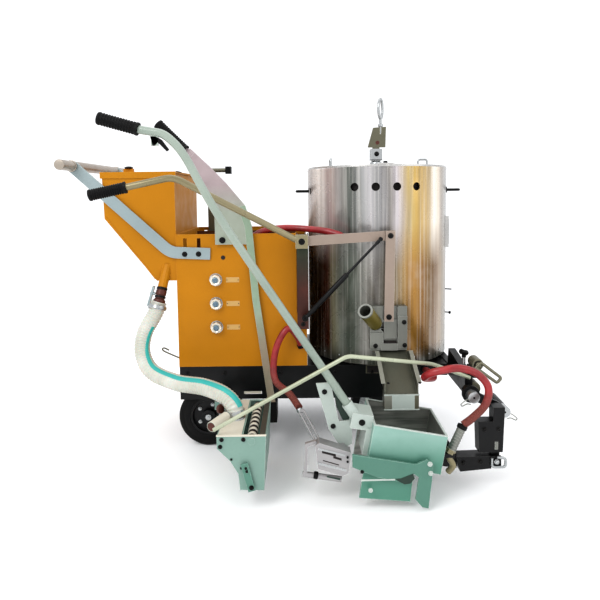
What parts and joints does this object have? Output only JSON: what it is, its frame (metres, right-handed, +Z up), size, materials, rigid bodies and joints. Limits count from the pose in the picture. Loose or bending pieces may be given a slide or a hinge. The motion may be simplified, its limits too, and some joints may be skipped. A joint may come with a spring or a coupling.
{
  "type": "line striping machine",
  "caption": "Hand-pushed road line striping machine with a heated paint kettle, gated chute, towed marking shoe, glass bead dispenser and long hand levers.",
  "frame": {"origin": "the bottom centre of the whole machine's bounding box, on the ground", "axes": "+X to the front of the machine, +Y to its left side, +Z up"},
  "size_m": [1.3166, 0.873, 1.1715],
  "materials": {
    "orange_paint": "semi-gloss enamel",
    "black_paint": "satin enamel",
    "mint_paint": "semi-gloss enamel",
    "pale_mint_paint": "semi-gloss enamel",
    "yellow_zinc": "yellow passivated zinc",
    "warm_steel": "bare mill finish",
    "stainless": "polished sheet",
    "bright_steel": "bright plated",
    "dark_steel": "heat stained",
    "black_rubber": "ribbed moulding",
    "tyre_rubber": "moulded tread",
    "red_hose": "woven gas hose",
    "clear_hose": "milky reinforced",
    "gas_bottle": "powder coat"
  },
  "bodies": {
    "chassis": {"chassis_frame": "black_paint", "rear_axle": "bright_steel", "cabinet_shell": "orange_paint", "gas_cylinder": "gas_bottle", "bead_hopper": "orange_paint", "bead_valve": "dark_steel", "bead_hose": "clear_hose", "kettle_shell": "stainless", "kettle_pot": "stainless", "lid_bridge": "stainless", "kettle_burner": "dark_steel", "outlet_housing": "stainless", "lever_post": "dark_steel", "outlet_chute": "dark_steel", "outrigger_beam": "black_paint", "tow_bracket": "black_paint", "bead_box": "mint_paint", "brace_rod": "yellow_zinc", "gas_hose_top": "red_hose", "gas_hose_left": "red_hose", "gas_hose_right": "red_hose"},
    "rear_wheel_right": {"rear_tyre_right": "tyre_rubber", "rear_hub_right": "bright_steel"},
    "rear_wheel_left": {"rear_tyre_left": "tyre_rubber", "rear_hub_left": "bright_steel"},
    "caster": {"caster_fork": "black_paint"},
    "caster_wheel": {"front_wheel": "tyre_rubber"},
    "handle": {"push_handle": "pale_mint_paint"},
    "brake": {"brake_lever": "warm_steel", "brake_grip": "black_rubber", "brake_pad": "black_rubber"},
    "steering_lock": {"lock_lever": "dark_steel"},
    "knob_upper": {"valve_knob_upper": "bright_steel"},
    "knob_middle": {"valve_knob_middle": "bright_steel"},
    "knob_lower": {"valve_knob_lower": "bright_steel"},
    "hopper_cover": {"hopper_lid": "orange_paint"},
    "bead_tap": {"bead_valve_lever": "bright_steel"},
    "lid_rear": {"kettle_lid_rear": "stainless"},
    "lid_front": {"kettle_lid_front": "stainless"},
    "agitator": {"agitator_shaft": "bright_steel"},
    "crank": {"crank_arm": "dark_steel"},
    "crank_ring": {"crank_eye": "bright_steel"},
    "gate_lever": {"gate_lever": "yellow_zinc", "gate_lever_grip": "black_rubber"},
    "link": {"gate_link": "warm_steel"},
    "gate": {"slide_gate": "stainless"},
    "strut_tube": {"strut_body": "black_paint"},
    "strut_piston": {"strut_rod": "bright_steel"},
    "shoe": {"shoe_box": "mint_paint", "shoe_lever": "pale_mint_paint", "shoe_lever_grip": "black_rubber", "shoe_carrier": "pale_mint_paint", "shoe_burner": "bright_steel", "tow_arm": "black_paint"},
    "trigger": {"lever_trigger": "dark_steel"},
    "shoe_gate": {"shoe_side_plate": "mint_paint"},
    "bead_roller": {"bead_roller": "dark_steel"},
    "bead_gate": {"bead_gate_arm": "mint_paint"},
    "sleeve_handle": {"clamp_handle": "yellow_zinc"},
    "sleeve_knob": {"clamp_knob": "black_rubber"}
  },
  "joints": [
    {"name": "rear_wheel_right_spin", "type": "hinge", "parent": "chassis", "child": "rear_wheel_right", "pos_m": [-0.2373, -0.0135, 0.1], "axis": [0, 1, 0], "continuous": true},
    {"name": "rear_wheel_left_spin", "type": "hinge", "parent": "chassis", "child": "rear_wheel_left", "pos_m": [-0.2373, 0.2865, 0.1], "axis": [0, 1, 0], "continuous": true},
    {"name": "caster_swivel", "type": "hinge", "parent": "chassis", "child": "caster", "pos_m": [0.3627, 0.1365, 0.185], "axis": [0, 0, 1], "range_deg": [-60, 60]},
    {"name": "caster_wheel_spin", "type": "hinge", "parent": "caster", "child": "caster_wheel", "pos_m": [0.3327, 0.1365, 0.08], "axis": [0, 1, 0], "continuous": true},
    {"name": "handle_height", "type": "slide", "parent": "chassis", "child": "handle", "axis": [0, 0, 1], "range_m": [0, 0.04]},
    {"name": "brake_pull", "type": "hinge", "parent": "chassis", "child": "brake", "pos_m": [-0.1723, -0.0765, 0.693], "axis": [0, 1, 0], "range_deg": [0, 10]},
    {"name": "steering_lock_swing", "type": "hinge", "parent": "chassis", "child": "steering_lock", "pos_m": [-0.2683, 0.3265, 0.684], "axis": [0, 1, 0], "range_deg": [-6, 14]},
    {"name": "knob_upper_turn", "type": "hinge", "parent": "chassis", "child": "knob_upper", "pos_m": [-0.1983, -0.0755, 0.565], "axis": [0, 1, 0], "range_deg": [0, 270]},
    {"name": "knob_middle_turn", "type": "hinge", "parent": "chassis", "child": "knob_middle", "pos_m": [-0.1983, -0.0755, 0.488], "axis": [0, 1, 0], "range_deg": [0, 270]},
    {"name": "knob_lower_turn", "type": "hinge", "parent": "chassis", "child": "knob_lower", "pos_m": [-0.1983, -0.0755, 0.411], "axis": [0, 1, 0], "range_deg": [0, 270]},
    {"name": "hopper_lid_open", "type": "hinge", "parent": "chassis", "child": "hopper_cover", "pos_m": [-0.3183, 0.1365, 0.913], "axis": [0, 1, 0], "range_deg": [0, 60]},
    {"name": "bead_tap_turn", "type": "hinge", "parent": "chassis", "child": "bead_tap", "pos_m": [-0.3923, -0.0825, 0.526], "axis": [-1, 0, 0], "range_deg": [0, 90]},
    {"name": "lid_rear_open", "type": "hinge", "parent": "chassis", "child": "lid_rear", "pos_m": [0.3167, 0.1365, 0.926], "axis": [0, 1, 0], "range_deg": [0, 45]},
    {"name": "lid_front_open", "type": "hinge", "parent": "chassis", "child": "lid_front", "pos_m": [0.3707, 0.1365, 0.926], "axis": [0, -1, 0], "range_deg": [0, 45]},
    {"name": "agitator_spin", "type": "hinge", "parent": "chassis", "child": "agitator", "pos_m": [0.3437, 0.1365, 0.9], "axis": [0, 0, 1], "continuous": true},
    {"name": "crank_fold", "type": "hinge", "parent": "agitator", "child": "crank", "pos_m": [0.3437, 0.1365, 0.972], "axis": [0, 1, 0], "range_deg": [0, 40]},
    {"name": "crank_ring_swivel", "type": "hinge", "parent": "crank", "child": "crank_ring", "pos_m": [0.3597, 0.1365, 1.06], "axis": [0, 0, 1], "continuous": true},
    {"name": "gate_lever_lift", "type": "hinge", "parent": "chassis", "child": "gate_lever", "pos_m": [0.0787, -0.1355, 0.691], "axis": [0, -1, 0], "range_deg": [0, 13]},
    {"name": "gate_link_swing", "type": "hinge", "parent": "gate_lever", "child": "link", "pos_m": [0.3507, -0.1335, 0.706], "axis": [0, -1, 0], "range_deg": [-12, 12]},
    {"name": "gate_lift", "type": "slide", "parent": "chassis", "child": "gate", "axis": [0, 0, 1], "range_m": [-0.01, 0.07]},
    {"name": "strut_swing", "type": "hinge", "parent": "chassis", "child": "strut_tube", "pos_m": [0.0867, -0.1505, 0.456], "axis": [0, -1, 0], "range_deg": [-10, 10]},
    {"name": "strut_extend", "type": "slide", "parent": "strut_tube", "child": "strut_piston", "axis": [0.6935, 0, 0.7204], "range_m": [-0.01, 0.05]},
    {"name": "shoe_lift", "type": "hinge", "parent": "chassis", "child": "shoe", "pos_m": [0.6147, -0.3135, 0.086], "axis": [0, 1, 0], "range_deg": [-2, 6], "deforming": ["gas_hose_left", "gas_hose_right"]},
    {"name": "trigger_squeeze", "type": "hinge", "parent": "shoe", "child": "trigger", "pos_m": [-0.3033, -0.3635, 0.968], "axis": [0, 1, 0], "range_deg": [0, 10]},
    {"name": "shoe_gate_swing", "type": "hinge", "parent": "shoe", "child": "shoe_gate", "pos_m": [0.40249, -0.4285, 0.12921], "axis": [0, 1, 0], "range_deg": [-3, 8]},
    {"name": "bead_roller_spin", "type": "hinge", "parent": "chassis", "child": "bead_roller", "pos_m": [-0.0593, -0.2955, 0.194], "axis": [0, 1, 0], "continuous": true},
    {"name": "bead_gate_swing", "type": "hinge", "parent": "chassis", "child": "bead_gate", "pos_m": [-0.0603, -0.4295, 0.074], "axis": [0, 1, 0], "range_deg": [-20, 20]},
    {"name": "sleeve_handle_turn", "type": "hinge", "parent": "chassis", "child": "sleeve_handle", "pos_m": [0.5912, -0.2405, 0.3315], "axis": [0, 1, 0], "range_deg": [-25, 25]},
    {"name": "sleeve_knob_turn", "type": "hinge", "parent": "chassis", "child": "sleeve_knob", "pos_m": [0.5607, -0.1985, 0.34], "axis": [0, 0, 1], "range_deg": [0, 360]}
  ],
  "couplings": [
    {"joint": "gate_link_swing", "follows": "gate_lever_lift", "ratio": -0.823},
    {"joint": "gate_lift", "follows": "gate_lever_lift", "m_per_rad": 0.2691},
    {"joint": "strut_swing", "follows": "gate_lever_lift", "ratio": 0.51},
    {"joint": "strut_extend", "follows": "gate_lever_lift", "m_per_rad": 0.16}
  ]
}
